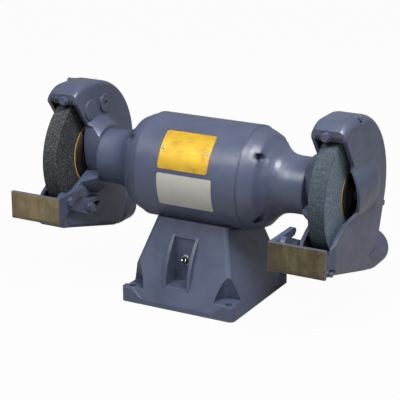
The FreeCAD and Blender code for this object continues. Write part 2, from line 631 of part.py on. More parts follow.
def clamped_wheel(side, name):
    inner_face = "wheel_centre - wheel_width / 2"
    outer_face = "wheel_centre + wheel_width / 2"
    flange_start = "guard_inner + guard_wall + 0.4"
    flange_end = f"{inner_face} - blotter_thickness"
    outer_start = f"{outer_face} + blotter_thickness"
    bore = "spindle_radius + running_gap"
    wheel = ring("wheel_radius", bore, inner_face, "wheel_width", side)
    keep(wheel, f"{name}_wheel")
    keep(group(
        ring("inner_blotter", bore, flange_end, "blotter_thickness", side),
        ring("outer_blotter", bore, outer_face, "blotter_thickness", side)), f"{name}_blotters")
    inner = turned(f"{name}_inner_flange", [
        (side_x(side, "shaft_shoulder"), bore), (side_x(side, flange_end), bore),
        (side_x(side, flange_end), "inner_flange * 0.55"),
        (side_x(side, f"{flange_end} - 1"), "inner_flange * 0.55 + 2"),
        (side_x(side, f"{flange_end} - 1"), "inner_flange - 9"),
        (side_x(side, flange_end), "inner_flange - 8"), (side_x(side, flange_end), "inner_flange"),
        (side_x(side, f"{flange_end} - 2"), "inner_flange"),
        (side_x(side, f"{flange_start} + 2"), "inner_flange - 6"),
        (side_x(side, f"{flange_start} + flange_dish"), "inner_flange * 0.62"),
        (side_x(side, flange_start), "inner_flange * 0.55"),
        (side_x(side, flange_start), "hub_bore - 0.5"), (side_x(side, "shaft_shoulder"), "hub_bore - 0.5")])
    keep(inner, f"{name}_inner_flange")
    outer_end = f"{outer_start} + outer_flange_thickness"
    outer = turned(f"{name}_outer_flange", [
        (side_x(side, outer_start), bore), (side_x(side, f"{outer_start} + 1"), "outer_flange - 9"),
        (side_x(side, outer_start), "outer_flange - 8"), (side_x(side, outer_start), "outer_flange"),
        (side_x(side, f"{outer_start} + 2"), "outer_flange"),
        (side_x(side, f"{outer_end} - flange_dish"), "outer_flange * 0.62"),
        (side_x(side, outer_end), "outer_flange * 0.5"), (side_x(side, outer_end), bore)])
    keep(outer, f"{name}_outer_flange")
    nut = hexagon("nut_flats", "nut_thickness", (side_x(side, outer_end),) + from_shaft(), outward(side))
    dome = cone("nut_flats / 2 + 3.2", "nut_flats / 2 - 0.6", "nut_thickness",
                (side_x(side, outer_end),) + from_shaft(), outward(side))
    crown = doc.addObject("Part::MultiCommon", "Crown")
    crown.Shapes = [nut, dome]
    bore_at = (side_x(side, f"{outer_end} - 1"),) + from_shaft()
    nut_bore = rod("spindle_radius + 0.02", 20, bore_at, outward(side))
    keep(cut(crown, nut_bore), f"{name}_arbor_nut")


clamped_wheel(-1, "left")
clamped_wheel(1, "right")


# ------------------------------------------------------------------ guards

def past_wheel(alias):
    """A distance from the arbor, given as one past the wheel's rim."""
    return round(size("wheel_radius") + size(alias), 6)


def guard_radius():
    return past_wheel("guard_room")


def rim_point(radius, degrees):
    """A point on the guard's rim, in the plane X = 0 about the arbor."""
    turn = math.radians(degrees)
    middle = Vector(0, size("guard_shift"), size("guard_lift"))
    return middle + Vector(0, radius * math.cos(turn), radius * math.sin(turn))


def chain(*corners):
    """Straight edges through the corners, one after another."""
    return [Part.LineSegment(first, second).toShape() for first, second in zip(corners, corners[1:])]


def meeting(first, first_way, second, second_way):
    """Where two lines in the plane X = 0 cross."""
    cross = first_way.y * second_way.z - first_way.z * second_way.y
    apart = second - first
    return first + first_way * ((apart.y * second_way.z - apart.z * second_way.y) / cross)


def lower_edges(inset, front):
    """The rim's end, the straight rear and the straight heel as far as front, rounded where they meet."""
    rim_end = rim_point(guard_radius() - inset, size("rear_turn"))
    turn, slope = math.radians(size("rear_turn")), math.radians(size("heel_slope"))
    rear_way = Vector(0, math.sin(turn), -math.cos(turn))
    heel_way = Vector(0, -math.cos(slope), math.sin(slope))
    toe = Vector(0, -past_wheel("toe_over"), -guard_radius() + size("heel_rise"))
    toe += Vector(0, heel_way.z, -heel_way.y) * inset
    corner = meeting(rim_end, rear_way, toe, heel_way)
    end = meeting(toe, heel_way, Vector(0, front, 0), Vector(0, 0, 1))
    radius = size("heel_round") - inset
    bend = rear_way.getAngle(heel_way)
    leg = radius * math.tan(bend / 2)
    first, last = corner - rear_way * leg, corner + heel_way * leg
    inwards = heel_way - rear_way
    inwards.normalize()
    middle = corner + inwards * (radius / math.cos(bend / 2) - radius)
    edges = chain(rim_end, first) + [Part.Arc(first, middle, last).toShape()] + chain(last, end)
    return rim_end, edges, end


def guard_wires():
    """The guard's outline and its hollow, as closed wires in the plane X = 0 about the arbor."""
    radius, wall, lip, toe = guard_radius(), size("guard_wall"), size("lip_y"), -past_wheel("toe_over")
    low, turn = past_wheel("lip_over"), size("brow_round")
    top = rim_point(radius, 90)
    rim_end, lower, heel = lower_edges(0, toe)
    lip_low, lip_high = Vector(0, lip, low), Vector(0, lip - 1, low + size("lip_height"))
    brow = Vector(0, lip + turn, top.z)
    rise = top.z - lip_high.z
    bend = ((turn + 1) ** 2 + rise ** 2) / (2 * rise)
    half = (math.pi - math.acos((turn + 1) / bend)) / 2 + math.pi / 4
    crest = Vector(0, brow.y + bend * math.cos(half), brow.z - bend + bend * math.sin(half))
    toe_high = Vector(0, toe, size("toe_height"))
    mouth = [
        toe_high, toe_high + Vector(0, 6, 4.7), toe_high + Vector(0, 26, 17.7), Vector(0, -26, -20)]
    crown = Vector(0, -29, 50)
    edges = chain(lip_low, lip_high) + [Part.Arc(lip_high, crest, brow).toShape()] + chain(brow, top)
    edges += [Part.Arc(top, rim_point(radius, 30), rim_end).toShape()] + lower + chain(heel, *mouth)
    edges += [Part.Arc(mouth[-1], Vector(0, -34, 15), crown).toShape()] + chain(crown, lip_low)
    outline = Part.Wire(edges)
    top = rim_point(radius - wall, 90)
    rim_end, lower, floor = lower_edges(wall, toe + wall)
    front, sill = toe - 60, toe_high.z - 2
    corners = [
        floor, Vector(0, floor.y, sill), Vector(0, front, sill), Vector(0, front, low),
        Vector(0, lip + wall, low), Vector(0, lip + wall, top.z - 6), Vector(0, lip + wall + 12, top.z), top]
    edges = chain(*corners) + [Part.Arc(top, rim_point(radius - wall, 30), rim_end).toShape()]
    return outline, Part.Wire(edges + lower)


def slab(wire, start, end):
    """A wire about the arbor filled between two distances from the middle."""
    face = Part.Face(wire)
    face.translate(Vector(start, size("shaft_offset"), shaft_height()))
    return face.extrude(Vector(end - start, 0, 0))


def at_guard(x, y, z):
    return Vector(x, y + size("shaft_offset"), z + shaft_height())


def smooth_edges(shape, x, radius):
    """Edges of the brow, rim and heel that lie in the plane at x."""
    centre = at_guard(x, size("guard_shift"), size("guard_lift"))
    found = []
    for edge in shape.Edges:
        box = edge.BoundBox
        if abs(box.XMin - x) > 0.01 or abs(box.XMax - x) > 0.01:
            continue
        middle = edge.valueAt((edge.FirstParameter + edge.LastParameter) / 2)
        if (middle - centre).Length > radius * 0.985 and middle.y > centre.y - past_wheel("toe_over"):
            found.append(edge)
    return found


def port(extra):
    """The dust port's duct: a cone out of the hollow, then a straight round end."""
    radius = size("port_bore") + extra
    end, straight = size("port_end"), size("port_straight")
    drop = -past_wheel("port_over")
    wires = []
    for y, spread, z in ((10, 0.75, drop + 14), (end - straight, 1, drop)):
        circle = Part.Circle(at_guard(size("port_x"), y, z), Vector(0, 1, 0), max(radius * spread, 2))
        wires.append(Part.Wire(circle.toShape()))
    duct = Part.makeLoft(wires, True, True)
    tip_at = at_guard(size("port_x"), end - straight, drop)
    tip = Part.makeCylinder(radius, straight, tip_at, Vector(0, 1, 0))
    return duct, tip


def capsule(axis, radius, start, end):
    """A round bar along Y about the axis, from start to end, with a ball on its end."""
    bar = Part.makeCylinder(radius, end - start, axis + Vector(0, start, 0), Vector(0, 1, 0))
    return bar.fuse(Part.makeSphere(radius, axis + Vector(0, end, 0)))


def screw_spots():
    """Where the cover's screws stand, about the arbor."""
    radius = guard_radius() - 3.5
    toe = Vector(0, -past_wheel("toe_over") + 6, -past_wheel("toe_screw_over"))
    return [rim_point(radius, 88), rim_point(radius, -22), toe]


def drill_tools():
    """The right guard's drilled holes, from its mounting face to its lip and rear pad."""
    inner, wall, neck = size("guard_inner"), size("guard_wall"), size("neck_end") - 5
    outwards, backwards = Vector(1, 0, 0), Vector(0, 1, 0)
    lip_spot = at_guard(size("spark_bolt_x"), size("lip_y") - 5, past_wheel("spark_bolt_over"))
    pad_spot = at_guard(inner - 8, size("pad_y"), past_wheel("pad_over"))
    arm_spot = at_guard(inner - 8, size("arm_bolt_y"), size("arm_bolt_z"))
    drills = [
        Part.makeCylinder(size("hub_bore"), 60, at_guard(neck, 0, 0), outwards),
        Part.makeCylinder(size("pad_hole"), 30, pad_spot, outwards),
        Part.makeCylinder(size("arm_bolt_radius") + 0.03, 30, arm_spot, outwards),
        Part.makeCylinder(size("spark_bolt_radius") + 0.03, 30, lip_spot, backwards),
        Part.makeCylinder(9, 5, lip_spot, backwards)]
    for z in (size("rear_bolt_high"), size("rear_bolt_low")):
        rear_spot = at_guard(size("port_x"), past_wheel("rear_pad_over") - 20, z)
        drills.append(Part.makeCylinder(4.03, 30, rear_spot, backwards))
    reach = size("mount_circle") * math.sqrt(0.5)
    for y in (-reach, reach):
        for z in (-reach, reach):
            shank = size("mount_screw_radius") + 0.3
            drills.append(Part.makeCylinder(shank, 60, at_guard(neck, y, z), outwards))
            drills.append(Part.makeCylinder(6.8, 20, at_guard(inner + wall - 8.5, y, z), outwards))
    return drills


def guard_shells():
    """The inner casting and the outer cover of the right guard."""
    inner, outer, wall = size("guard_inner"), size("guard_outer"), size("guard_wall")
    seam, outwards = size("guard_seam"), Vector(1, 0, 0)
    outline, hollow = guard_wires()
    solid = slab(outline, inner, outer)
    solid = solid.makeFillet(size("inner_fillet"), smooth_edges(solid, inner, guard_radius()))
    solid = solid.makeFillet(size("outer_fillet"), smooth_edges(solid, outer, guard_radius()))
    mouth = slab(outline, inner - 40, outer + 40)
    low, high, back, reach = size("bulge_low"), size("bulge_high"), size("bulge_back"), size("bulge_reach")
    half_rise, proud = (high - low) / 2, reach - outer
    dome = (half_rise ** 2 + proud ** 2) / (2 * proud)
    beyond = Part.makeBox(200, 500, 500, Vector(seam, -250, 0))
    skin = size("bulge_wall")
    bulge, pocket = [
        capsule(at_guard(reach - dome, 0, (high + low) / 2), radius, -start, back - half_rise).common(beyond)
        for radius, start in ((dome, 80), (dome - skin, 140))]
    bulge = bulge.common(mouth)
    port_x, rear_face = size("port_x"), past_wheel("rear_pad_over")
    rear_low = at_guard(port_x - size("rear_pad_width") / 2, rear_face - 22, size("rear_pad_low"))
    rear = Part.makeBox(size("rear_pad_width"), 22, size("rear_pad_rise"), rear_low)
    rims = [edge for edge in rear.Edges if edge.BoundBox.YMin > at_guard(0, rear_face, 0).y - 0.01]
    rear = rear.makeFillet(size("rear_pad_round"), rims)
    duct, tip = port(size("port_radius") - size("port_bore"))
    rims = [edge for edge in tip.Edges if edge.BoundBox.YMin > at_guard(0, size("port_end"), 0).y - 0.01]
    tip = tip.makeFillet(min(size("port_round"), (size("port_radius") - size("port_bore")) * 0.8), rims)
    duct = duct.fuse(tip)
    hole, bore = port(0)
    outlet = at_guard(port_x, size("port_end") - 1, -past_wheel("port_over"))
    bore = bore.fuse(Part.makeCylinder(size("port_bore"), 4, outlet, Vector(0, 1, 0)))
    neck = size("neck_end")
    collar = Part.makeCone(
        size("collar_radius"), size("collar_root"), inner + 2 - neck, at_guard(neck, 0, 0), outwards)
    collar = collar.common(mouth)
    pad_face, arm_spot = inner - size("pad_thickness"), (size("arm_bolt_y"), size("arm_bolt_z"))
    front_pad = at_guard(pad_face + 1, -size("pad_y") - 4, past_wheel("pad_over") - 3)
    pads = [
        Part.makeCylinder(
            size("pad_radius"), 8, at_guard(pad_face, size("pad_y"), past_wheel("pad_over")), outwards),
        Part.makeCylinder(size("pad_radius") + 1, 8, front_pad, outwards),
        Part.makeCylinder(size("arm_half") - 1, 8, at_guard(inner - 1, *arm_spot), outwards)]
    cavity = slab(hollow, inner + wall, outer - wall)
    posts, notches, taps = [], [], []
    for spot in screw_spots():
        foot = at_guard(inner + wall - 1, spot.y, spot.z)
        posts.append(Part.makeCylinder(7, outer - inner - wall - 6, foot, outwards))
        notches.append(Part.makeCylinder(7.5, 30, at_guard(outer - 6, spot.y, spot.z), outwards))
        tap_at = at_guard(seam - 18, spot.y, spot.z)
        taps.append(Part.makeCylinder(2.55, outer - seam + 12, tap_at, outwards))
    solid = solid.fuse([bulge, rear, collar] + pads).cut([cavity, pocket])
    wheel_room = Part.makeCylinder(size("wheel_radius") + 2.5, 200, at_guard(seam - 150, 0, 0), outwards)
    posts = [post.common(slab(outline, inner, outer)).cut(wheel_room) for post in posts]
    solid = solid.fuse(posts).cut(notches)
    near = Part.makeBox(200, 500, 500, Vector(seam - 200, -250, 0))
    body = solid.common(near).fuse(duct).cut([cavity, hole, bore])
    body = body.fuse([post.common(near) for post in posts])
    cover = solid.common(beyond).cut([duct, hole, bore])
    drills = drill_tools() + taps
    return body.cut(drills).removeSplitter(), cover.cut(drills).removeSplitter()


right_body, right_cover = guard_shells()
for side, name in ((-1, "left"), (1, "right")):
    cast(f"{name}_guard_body", mirrored(right_body, side))
    cast(f"{name}_guard_cover", mirrored(right_cover, side))
    cover_bolts = []
    for spot in screw_spots():
        x = side_x(side, "guard_outer - 6")
        place = from_shaft(round(spot.y, 3), round(spot.z, 3))
        cover_bolts.append(fuse(
            hexagon(8, 4, (x,) + place, outward(side)),
            rod(2.5, "guard_outer - guard_seam + 8", (x,) + place, outward(-side))))
    keep(group(*cover_bolts), f"{name}_cover_screws")
    mount_bolts = []
    for y, z in circle_points("mount_circle"):
        x = side_x(side, "guard_inner + guard_wall - 8.5")
        place = from_shaft(y, z)
        head = rod(6.5, 8, (x,) + place, outward(side))
        socket = hexagon(6, 6, (side_x(side, "guard_inner + guard_wall - 5"),) + place, outward(side))
        shank = rod("mount_screw_radius", 36, (x,) + place, outward(-side))
        mount_bolts.append(fuse(cut(head, socket), shank))
    keep(group(*mount_bolts), f"{name}_guard_mount_screws")
    rear_bolts = []
    for height in ("rear_bolt_high", "rear_bolt_low"):
        at = (side_x(side, "port_x"),) + from_shaft("wheel_radius + rear_pad_over", height)
        rear_bolts.append(fuse(hexagon(13, 5.3, at, "Y"), rod(4, 11, at, "-Y")))
    keep(group(*rear_bolts), f"{name}_rear_pad_bolts")


# ----------------------------------------------- spark guards and tool rests

for side, name in ((-1, "left"), (1, "right")):
    roof = size("guard_lift") + guard_radius() - size("guard_wall") - 6
    tongue_y = size("lip_y") + size("guard_wall") + 0.05
    under = math.sqrt(size("wheel_radius") ** 2 - (tongue_y + size("tongue_thickness")) ** 2)
    low, high = round(under + size("tongue_drop"), 3), round(roof - 0.5, 3)
    tongue_left = f"{side} * (guard_inner + guard_outer) / 2 - tongue_width / 2"
    tongue_at = (tongue_left,) + from_shaft(tongue_y, low)
    tongue = block("tongue_width", "tongue_thickness", high - low, tongue_at)
    notch_at = from_shaft(tongue_y - 5, "wheel_radius + spark_bolt_over")
    notch_left = f"{side} * spark_bolt_x - spark_bolt_radius - 0.5"
    notch = block("2 * spark_bolt_radius + 1", 20, 30, (notch_left,) + notch_at)
    notch_end = rod("spark_bolt_radius + 0.5", 20, (f"{side} * spark_bolt_x",) + notch_at, "Y")
    keep(cut(tongue, notch, notch_end), f"{name}_spark_guard")
    bolt_at = (f"{side} * spark_bolt_x",) + from_shaft("lip_y", "wheel_radius + spark_bolt_over")
    keep(fuse(
        rod("spark_bolt_radius", "guard_wall + 6", bolt_at, "Y"), rod(8, 1.5, bolt_at, "-Y"),
        hexagon(11, 6.5, bolt_at, "-Y")), f"{name}_spark_guard_bolt")

    def pivot(x, y="0", z="0"):
        """A place about the pivot bolt of this side's tool rest."""
        slide = f"{name}_slide"
        return (side_x(side, x),) + from_shaft(f"rest_pivot_y - {slide} + ({y})", f"rest_pivot_z + ({z})")

    rear_y = "arm_bolt_y - rest_pivot_y + arm_travel"
    mid_y = "arm_bolt_y - rest_pivot_y"
    arm_z = "arm_bolt_z - rest_pivot_z"
    lean = math.degrees(math.atan2(worth(arm_z), worth(mid_y)))
    arm_left = "arm_inner" if side > 0 else "-arm_inner - arm_thickness"
    span = f"sqrt(({mid_y}) * ({mid_y}) + ({arm_z}) * ({arm_z}))"
    link = block("arm_thickness", span, "2 * arm_half", ("0", "0", "0"))
    link.Placement = Placement(Vector(), Rotation(Vector(1, 0, 0), lean))
    drop, shift = -math.cos(math.radians(lean)), math.sin(math.radians(lean))
    link_at = pivot("0", f"arm_half * {shift:.6f}", f"arm_half * {drop:.6f}")
    for letter, formula in zip("xyz", (arm_left,) + link_at[1:]):
        link.setExpression("Placement.Base." + letter, bound(formula))
    arm_low = pivot("0", mid_y, f"{arm_z} - arm_half")
    arm = fuse(
        rod("arm_half", "arm_thickness", pivot("arm_inner"), outward(side)), link,
        rod("arm_half", "arm_thickness", pivot("arm_inner", mid_y, arm_z), outward(side)),
        rod("arm_half", "arm_thickness", pivot("arm_inner", rear_y, arm_z), outward(side)),
        block("arm_thickness", "arm_travel", "2 * arm_half", (arm_left,) + arm_low[1:]))
    slot_low = pivot("0", mid_y, f"{arm_z} - arm_bolt_radius - 0.5")
    slot_left = f"{side} * (arm_inner + 4) - 10"
    slot = [
        rod("arm_bolt_radius + 0.5", 20, pivot("arm_inner - 5", mid_y, arm_z), outward(side)),
        rod("arm_bolt_radius + 0.5", 20, pivot("arm_inner - 5", rear_y, arm_z), outward(side)),
        block(20, "arm_travel", "2 * arm_bolt_radius + 1", (slot_left,) + slot_low[1:]),
        rod("rest_bolt_radius + 0.02", 20, pivot("arm_inner - 5"), outward(side))]
    keep(cut(arm, *slot), f"{name}_rest_arm")
    bolt_at = (side_x(side, "arm_inner - 1.5"),) + from_shaft("arm_bolt_y", "arm_bolt_z")
    shank = rod("arm_bolt_radius", "arm_thickness + guard_wall + 4", bolt_at, outward(side))
    washer, head = rod(8.5, 1.4, bolt_at, outward(side)), hexagon(13, 5.3, bolt_at, outward(-side))
    keep(fuse(washer, head, shank), f"{name}_arm_bolt")
    rest_left = "rest_inner" if side > 0 else "-rest_inner - rest_width"
    ear_left = "rest_inner" if side > 0 else "-rest_inner - arm_thickness"
    table = block("rest_width", "rest_thickness", "rest_height",
                  (rest_left,) + from_shaft(f"rest_face - {name}_slide", "rest_low"))
    ear = doc.addObject("Part::Feature", "Ear")
    plate_back = size("rest_face") + size("rest_thickness") - 1
    tail = size("rest_tail")
    high = size("rest_low") + size("rest_height")
    corners = [
        Vector(0, plate_back, size("rest_low") + 3), Vector(0, plate_back, high), Vector(0, tail - 5, high),
        Vector(0, tail, high - 5), Vector(0, tail - 5, high - 11), Vector(0, -96, high - 14),
        Vector(0, -103, high - 21), Vector(0, -112, high - 24), Vector(0, plate_back, size("rest_low") + 3)]
    ear_shape = Part.Face(Part.makePolygon(corners)).extrude(Vector(size("arm_thickness"), 0, 0))
    across = [edge for edge in ear_shape.Edges if edge.BoundBox.XLength > 1]
    ear.Shape = ear_shape.makeFillet(3.2, [edge for edge in across if edge.BoundBox.YMin > plate_back + 1])
    for letter, formula in zip("xyz", (ear_left,) + from_shaft(f"-{name}_slide", "0")):
        ear.setExpression("Placement.Base." + letter, bound(formula))
    pivot_hole = rod("rest_bolt_radius + 0.06", 20, pivot("rest_inner - 5"), outward(side))
    keep(cut(fuse(table, ear), pivot_hole), f"{name}_tool_rest")
    pivot_at = pivot("rest_inner - 0.1")
    keep(fuse(
        rod("rest_bolt_radius", "2 * arm_thickness + 0.1", pivot_at, outward(side)),
        hexagon(13, 5.3, pivot_at, outward(-side))), f"{name}_rest_bolt")


# ------------------------------------------------------------------- files

doc.recompute()
failed = [piece.Label for piece in doc.Objects if {"Invalid", "Error"} & set(piece.State)]
if failed:
    raise SystemExit("failed features: " + ", ".join(failed))
for piece in subparts:
    if piece.Shape.isNull() or not piece.Shape.isValid():
        raise SystemExit("bad shape: " + piece.Label)
for piece in subparts:
    piece.Shape.exportStep(os.path.join("parts", piece.Label + ".step"))
print(len(subparts), "sub-parts written")
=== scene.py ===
import bmesh
import bpy
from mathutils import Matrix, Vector


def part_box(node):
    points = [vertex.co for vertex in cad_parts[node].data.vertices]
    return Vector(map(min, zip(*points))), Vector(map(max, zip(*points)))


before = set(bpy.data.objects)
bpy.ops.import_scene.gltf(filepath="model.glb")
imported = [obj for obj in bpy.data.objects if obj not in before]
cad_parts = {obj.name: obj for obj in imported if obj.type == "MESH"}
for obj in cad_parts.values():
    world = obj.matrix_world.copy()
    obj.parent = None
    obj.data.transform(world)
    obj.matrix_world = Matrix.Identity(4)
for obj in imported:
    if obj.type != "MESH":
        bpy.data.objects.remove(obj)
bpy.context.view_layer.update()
print("frame loaded:", len(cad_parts), "nodes")

# camera

cameraSetup = {
    "spot": (1.0096, -1.8850, 0.8507), "aim": (-0.01496, 0.0074, 0.14652), "lens": 130.55}


def placeCamera(setup):
    data = bpy.data.cameras.new("benchCamera")
    data.lens = setup["lens"]
    camera = bpy.data.objects.new("benchCamera", data)
    camera.location = setup["spot"]
    gaze = Vector(setup["aim"]) - Vector(setup["spot"])
    camera.rotation_euler = gaze.to_track_quat("-Z", "Y").to_euler()
    bpy.context.scene.collection.objects.link(camera)
    bpy.context.scene.camera = camera


placeCamera(cameraSetup)
print("camera placed")

# shader helpers


class Wire:
    def __init__(self, finish, socket):
        self.finish, self.socket = finish, socket

    def math(self, operation, other=None, swapped=False):
        pair = [self] if other is None else [self, other]
        if swapped:
            pair.reverse()
        return self.finish.node("ShaderNodeMath", {"operation": operation}, dict(enumerate(pair)))

    def __add__(self, other):
        return self.math("ADD", other)

    def __sub__(self, other):
        return self.math("SUBTRACT", other)

    def __rsub__(self, other):
        return self.math("SUBTRACT", other, swapped=True)

    def __mul__(self, other):
        return self.math("MULTIPLY", other)

    def __lt__(self, other):
        return self.math("LESS_THAN", other)

    def __gt__(self, other):
        return self.math("GREATER_THAN", other)

    __radd__, __rmul__ = __add__, __mul__


class Finish:
    def __init__(self, name):
        self.material = bpy.data.materials.new(name)
        self.material.use_nodes = True
        self.tree = self.material.node_tree
        self.shader = self.tree.nodes["Principled BSDF"]
        self.place = self.node("ShaderNodeTexCoord", out="Object")

    def node(self, kind, settings=None, sockets=None, out=0):
        made = self.tree.nodes.new(kind)
        for name, value in (settings or {}).items():
            if name == "stops":
                while len(made.color_ramp.elements) < len(value):
                    made.color_ramp.elements.new(1)
                for element, (position, colour) in zip(made.color_ramp.elements, value):
                    element.position, element.color = position, tuple(colour) + (1,)
            else:
                setattr(made, name, value)
        for name, value in (sockets or {}).items():
            self.plug(made.inputs[name], value)
        return Wire(self, made.outputs[out])

    def plug(self, socket, value):
        if isinstance(value, Wire):
            self.tree.links.new(value.socket, socket)
        elif hasattr(value, "__len__") and len(value) == 3 and socket.type == "RGBA":
            socket.default_value = tuple(value) + (1,)
        else:
            socket.default_value = value

    def set(self, **values):
        for name, value in values.items():
            self.plug(self.shader.inputs[name.replace("_", " ")], value)
        return self.material

    def at(self, scale):
        return self.node("ShaderNodeMapping", {}, {"Vector": self.place, "Scale": scale})

    def vector(self, x, y, z):
        return self.node("ShaderNodeCombineXYZ", {}, {0: x, 1: y, 2: z})

    def noise(self, scale, detail, rough, place=None):
        return self.node("ShaderNodeTexNoise", {}, {
            "Vector": place or self.place, "Scale": scale, "Detail": detail, "Roughness": rough})

    def cells(self, scale):
        return self.node("ShaderNodeTexVoronoi", {}, {"Vector": self.place, "Scale": scale})

    def between(self, value, low, high, toLow=0.0, toHigh=1.0):
        return self.node("ShaderNodeMapRange", {"interpolation_type": "SMOOTHSTEP"}, {
            "Value": value, "From Min": low, "From Max": high, "To Min": toLow, "To Max": toHigh})

    def roughness(self, value, span, rough, less, more):  # rough, less or more with the noise
        return self.between(value, *span, rough - less, rough + more)

    def mix(self, factor, first, second, blend="MIX"):
        return self.node("ShaderNodeMix", {"data_type": "RGBA", "blend_type": blend},
                         {0: factor, 6: first, 7: second}, 2)

    def axes(self):
        split = self.tree.nodes.new("ShaderNodeSeparateXYZ")
        self.plug(split.inputs[0], self.place)
        return [Wire(self, output) for output in split.outputs]

    def around(self, centre):  # x, and the place and distance from a line along x
        x, y, z = self.axes()
        across, up = y - centre[0], z - centre[1]
        return x, across, up, (across * across + up * up).math("SQRT")

    def bump(self, height, strength, distance, under=None):
        sockets = {"Height": height, "Strength": strength, "Distance": distance}
        if under:
            sockets["Normal"] = under
        return self.node("ShaderNodeBump", {}, sockets)

    def roundEdges(self, radius):
        return self.node("ShaderNodeBevel", {"samples": 4}, {"Radius": radius})

    def edgeMask(self, radius, low=0.015, high=0.16):  # 1 where the surface turns within the radius
        soft = self.roundEdges(radius)
        hard = self.node("ShaderNodeNewGeometry", out="Normal")
        along = self.node("ShaderNodeVectorMath", {"operation": "DOT_PRODUCT"},
                          {0: soft, 1: hard}, "Value")
        return self.between(1 - along, low, high)


def dress(material, *nodes):
    for node in nodes:
        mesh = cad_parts[node].data
        mesh.materials.clear()
        mesh.materials.append(material)


def bothSides(*names):
    return [side + "_" + name for name in names for side in ("left", "right")]


def scaled(colour, gain):
    return [channel * gain for channel in colour]


def middle(node):
    low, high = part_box(node)
    return [(a + b) / 2 for a, b in zip(low, high)]


# In the dictionaries a noise is (scale, detail, roughness), a bump is (strength, distance),
# and a span is the stretch of a noise that goes from none to all.
midSpan = (0.30, 0.70)
wheelMiddle, *arborLine = middle("right_wheel")  # its x, and the arbor's y and z

# painted castings

enamel = {
    "paint": (0.070, 0.084, 0.140), "shade": (0.050, 0.060, 0.103), "clouds": (11, 4, 0.6),
    "rubbed": (0.135, 0.150, 0.215), "edge": 0.0022,
    "wear": (120, 4, 0.65), "wearSpan": (0.35, 0.62), "wearShare": 0.75, "wearRough": 0.12,
    "chip": (0.035, 0.037, 0.045), "chipScale": 210, "chipSize": (0.05, 0.085),
    "chipGroups": (30, 2, 0.55), "chipSpan": (0.52, 0.62), "chipShare": 0.5,
    "rough": 0.36, "lessRough": 0.05, "moreRough": 0.07, "coat": 0.25, "coatRough": 0.25,
    "grain": (900, 2, 0.5), "grainBump": (0.10, 0.0002),
    "sand": (170, 3, 0.6), "sandBump": (0.14, 0.0006),
    "flow": (38, 2, 0.5), "flowBump": (0.10, 0.003),
    "softEdges": {"slateEnamel": 0.0012, "guardEnamel": 0.0026, "bellEnamel": 0.0065}}

# Painted shade darkens the guards inside: between two side walls, round the wheel and above the
# heel.
guardRoom = {
    "paintedShade": (0.012, 0.012, 0.014), "walls": (0.2053, 0.2476),
    "centre": (0.0004, 0.1983), "radius": 0.1127, "heelRise": 0.268, "heelFoot": 0.0970,
    "heelTop": -0.05, "toe": -0.0877, "rear": 0.070,
    "dust": (60, 4, 0.7), "dustSpan": (0.25, 0.75), "share": (0.97, 0.8), "rough": 0.4}


def findRoom(f, room):
    x, across, up, out = f.around(room["centre"])
    wide = x.math("ABSOLUTE")
    innerWall, outerWall = room["walls"]
    floor = up + (across - room["toe"]) * room["heelRise"] + room["heelFoot"]
    heel = (floor > 0) * (up < room["heelTop"]) * (across > room["toe"]) * (across < room["rear"])
    hollow = ((out < room["radius"]) + heel).math("MINIMUM", 1.0)
    return (wide > innerWall) * (wide < outerWall) * hollow


def makeEnamel(look, name, room=None):
    f = Finish(name)
    flow = f.noise(*look["flow"])
    colour = f.mix(f.between(f.noise(*look["clouds"]), *midSpan), look["shade"], look["paint"])
    worn = f.edgeMask(look["edge"]) * f.between(f.noise(*look["wear"]), *look["wearSpan"])
    colour = f.mix(worn * look["wearShare"], colour, look["rubbed"])
    chips = f.between(f.cells(look["chipScale"]), *look["chipSize"], 1, 0)
    chips = chips * f.between(f.noise(*look["chipGroups"]), *look["chipSpan"])
    colour = f.mix(chips * look["chipShare"], colour, look["chip"])
    rough = f.roughness(flow, midSpan, look["rough"], look["lessRough"], look["moreRough"])
    rough = rough + worn * look["wearRough"]
    if room:
        # Inside the guards the colour goes to near black, mottled by noise: painted shade.
        dark = findRoom(f, room)
        dust = f.between(f.noise(*room["dust"]), *room["dustSpan"], *room["share"])
        colour = f.mix(dark * dust, colour, room["paintedShade"])
        rough = rough + dark * room["rough"]
    skin = f.roundEdges(look["softEdges"][name])
    skin = f.bump(f.noise(*look["grain"]), *look["grainBump"], skin)
    skin = f.bump(f.noise(*look["sand"]), *look["sandBump"], skin)
    skin = f.bump(flow, *look["flowBump"], skin)
    return f.set(Base_Color=colour, Roughness=rough, Normal=skin, Coat_Weight=look["coat"],
                 Coat_Roughness=look["coatRough"])


dress(makeEnamel(enamel, "slateEnamel"), "pedestal_base", "motor_shell", "through_bolts",
      *bothSides("cover_screws", "rear_pad_bolts", "spark_guard", "spark_guard_bolt",
                 "rest_arm", "arm_bolt", "rest_bolt"))
dress(makeEnamel(enamel, "guardEnamel", guardRoom), *bothSides("guard_body", "guard_cover"))
dress(makeEnamel(enamel, "bellEnamel"), *bothSides("end_bell"))
print("castings painted")

# grinding wheels and blotters

stone = {
    "coarseGrit": {
        "pore": (0.006, 0.007, 0.008), "bond": (0.036, 0.040, 0.043), "grain": (0.26, 0.275, 0.285),
        "stops": (0.34, 0.47, 0.57, 0.67), "grit": (680, 2.5, 0.75), "pits": 544,
        "bump": (0.75, 0.0010), "side": 0.92, "streak": 0.04},
    "fineGrit": {
        "pore": (0.018, 0.025, 0.032), "bond": (0.046, 0.061, 0.077), "grain": (0.17, 0.21, 0.25),
        "stops": (0.34, 0.46, 0.57, 0.68), "grit": (900, 2.5, 0.75), "pits": 720,
        "bump": (0.75, 0.0003), "side": 2.5, "streak": 0.18},
    "rimEdge": (0.0999, 0.1009), "streaks": (1, 3, 0.6),
    "streakScale": (40, 60, 34),  # along x, outwards and round the arbor
    "pitSize": (0.0, 0.6), "pitDepth": 0.6, "glaze": (34, 3, 0.6), "glazeSpan": (0.45, 0.75),
    "rough": 0.93, "glazeShine": 0.12, "specular": 0.25}


